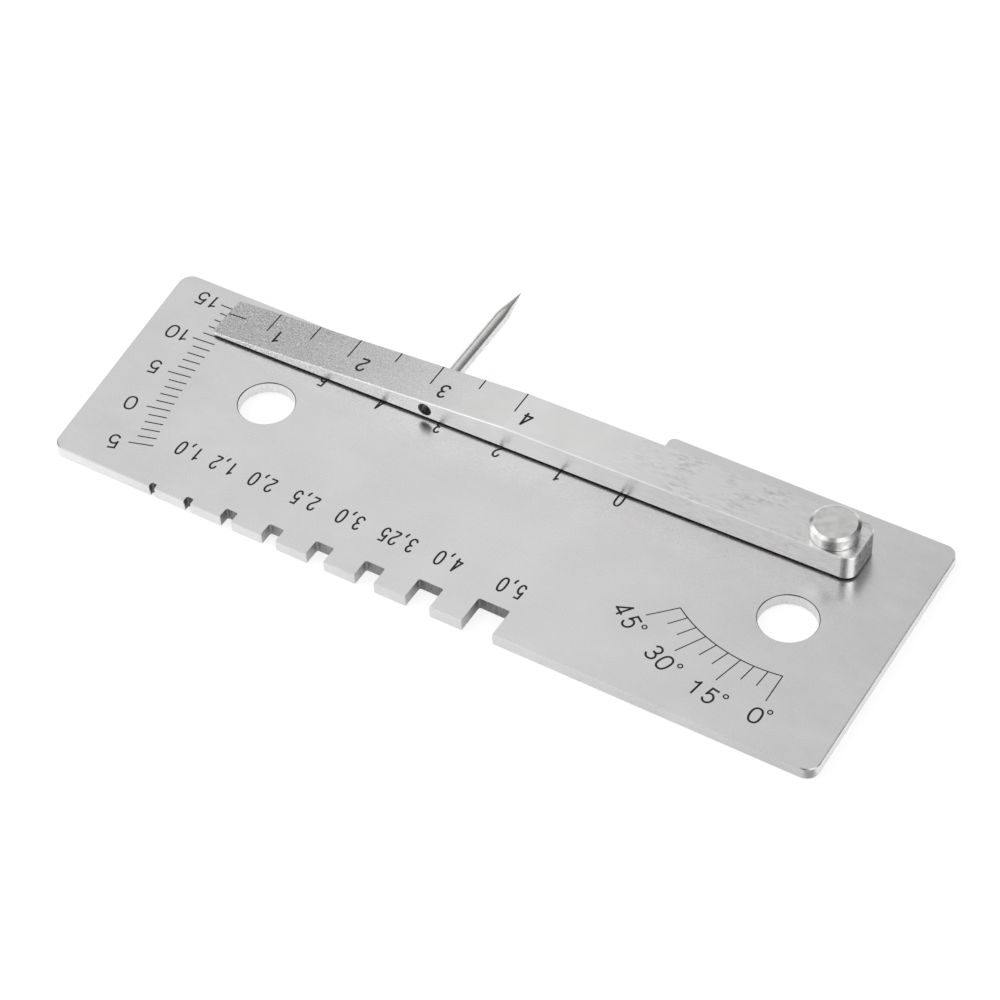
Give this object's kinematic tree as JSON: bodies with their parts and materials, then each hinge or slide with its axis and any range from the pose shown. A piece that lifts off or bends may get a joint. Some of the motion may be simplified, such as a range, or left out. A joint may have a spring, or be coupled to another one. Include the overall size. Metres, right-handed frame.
{
  "type": "weld gauge",
  "caption": "Flat steel weld gauge: stepped plate with measuring notches and engraved scales, and a swinging wedge arm with a pointed depth needle.",
  "frame": {"origin": "centre of the plate's underside, midway along its length and width", "axes": "+X towards the pivot end, +Y towards the edge the needle points over, +Z out of the marked face"},
  "size_m": [0.1272, 0.059, 0.0084],
  "materials": {
    "ground_steel": "ground satin",
    "bright_steel": "turned bright"
  },
  "bodies": {
    "plate": {"base_plate": "ground_steel", "pivot_rivet": "bright_steel", "pivot_washer": "bright_steel"},
    "arm": {"wedge_arm": "ground_steel", "depth_needle": "bright_steel"}
  },
  "joints": [
    {"name": "arm_swing", "type": "hinge", "parent": "plate", "child": "arm", "pos_m": [0.04875, 0.0133, 0.0023], "axis": [0, 0, 1], "continuous": true}
  ]
}
